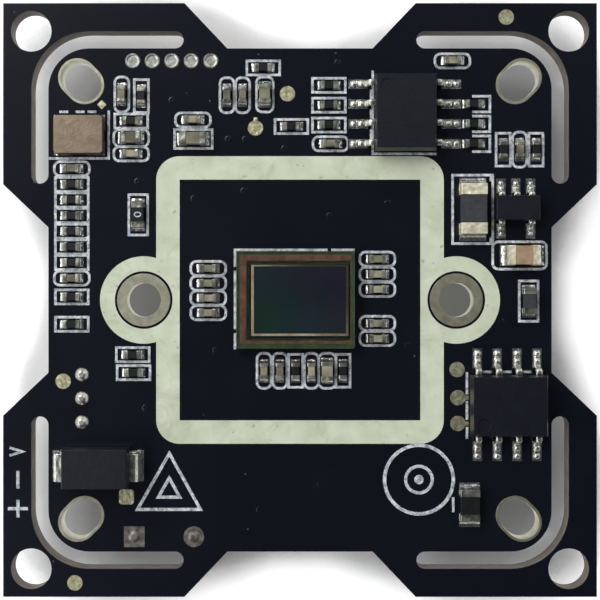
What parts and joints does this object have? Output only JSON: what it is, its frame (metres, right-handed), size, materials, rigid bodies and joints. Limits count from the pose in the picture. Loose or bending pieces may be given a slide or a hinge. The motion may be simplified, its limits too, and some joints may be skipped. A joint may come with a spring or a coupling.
{
  "type": "board camera module",
  "caption": "Bare square camera board with an image sensor at its centre, edge notches, relief slots, mounting slots and a lens-holder footprint.",
  "frame": {"origin": "the optical axis, on the sensor side of the board, midway between the two lens-holder holes", "axes": "+Z out of the sensor side towards the scene, +X along the line of the lens-holder holes, +Y towards the edge with the memory chip"},
  "size_m": [0.038, 0.038, 0.007],
  "materials": {
    "solder_mask": "black solder mask on glass-epoxy laminate, satin gloss",
    "frame_ink": "cream printing ink, matt",
    "outline_ink": "white printing ink, matt",
    "tinned_land": "hot-tinned copper, dull",
    "solder": "lead-free solder, satin and a little grainy",
    "package_green": "green sensor base laminate",
    "silicon": "silicon die with metal seal ring",
    "pixel_filter": "colour filter array, dark with a green and violet sheen",
    "dam_resin": "brown dam resin",
    "cover_glass": "clear cover glass, polished",
    "crystal_ceramic": "brown ceramic",
    "lid_metal": "gold-flashed metal lid, satin",
    "mould_black": "black epoxy moulding, matt",
    "tinned_lead": "tin-plated copper leads, satin",
    "ferrite": "grey-black sintered ferrite, matt",
    "end_cap": "tin-plated end caps, satin",
    "capacitor_amber": "amber capacitor ceramic, matt",
    "resistor_glaze": "black resistor glaze, satin",
    "capacitor_tan": "tan capacitor ceramic, matt",
    "housing_nylon": "cream nylon, moulded",
    "pin_metal": "tin-plated brass pins"
  },
  "bodies": {
    "root": {"circuit_board": "solder_mask", "lens_footprint_print": "frame_ink", "component_outline_print": "outline_ink", "lens_screw_lands": "tinned_land", "mounting_slot_lands": "tinned_land", "test_pads": "tinned_land", "wire_pads": "tinned_land", "header_solder_joints": "solder", "chip_solder": "solder", "lead_solder": "solder", "sensor_solder_balls": "solder", "sensor_base": "package_green", "sensor_die": "silicon", "pixel_array": "pixel_filter", "sensor_dam": "dam_resin", "sensor_cover_glass": "cover_glass", "crystal_base": "crystal_ceramic", "crystal_lid": "lid_metal", "memory_chip_body": "mould_black", "memory_chip_leads": "tinned_lead", "video_driver_body": "mould_black", "video_driver_leads": "tinned_lead", "regulator_body": "mould_black", "regulator_leads": "tinned_lead", "diode_body": "mould_black", "diode_terminals": "tinned_lead", "ferrite_bead_body": "ferrite", "ferrite_bead_terminals": "end_cap", "bulk_capacitor_body": "capacitor_amber", "bulk_capacitor_terminals": "end_cap", "load_resistor_body": "resistor_glaze", "load_resistor_terminals": "end_cap", "small_resistor_bodies": "resistor_glaze", "small_resistor_terminals": "end_cap", "small_capacitor_bodies": "capacitor_tan", "small_capacitor_terminals": "end_cap", "filter_capacitor_bodies": "capacitor_tan", "filter_capacitor_terminals": "end_cap", "jumper_link_body": "resistor_glaze", "jumper_link_terminals": "end_cap", "small_bead_body": "ferrite", "small_bead_terminals": "end_cap", "image_processor_body": "mould_black", "image_processor_leads": "tinned_lead", "signal_header_housing": "housing_nylon", "signal_header_pins": "pin_metal", "power_header_housing": "housing_nylon", "power_header_pins": "pin_metal", "power_inductor_body": "ferrite", "power_inductor_terminals": "tinned_lead", "step_down_regulator_body": "mould_black", "step_down_regulator_leads": "tinned_lead", "back_capacitor_bodies": "capacitor_tan", "back_capacitor_terminals": "end_cap", "back_solder": "solder"}
  },
  "joints": []
}
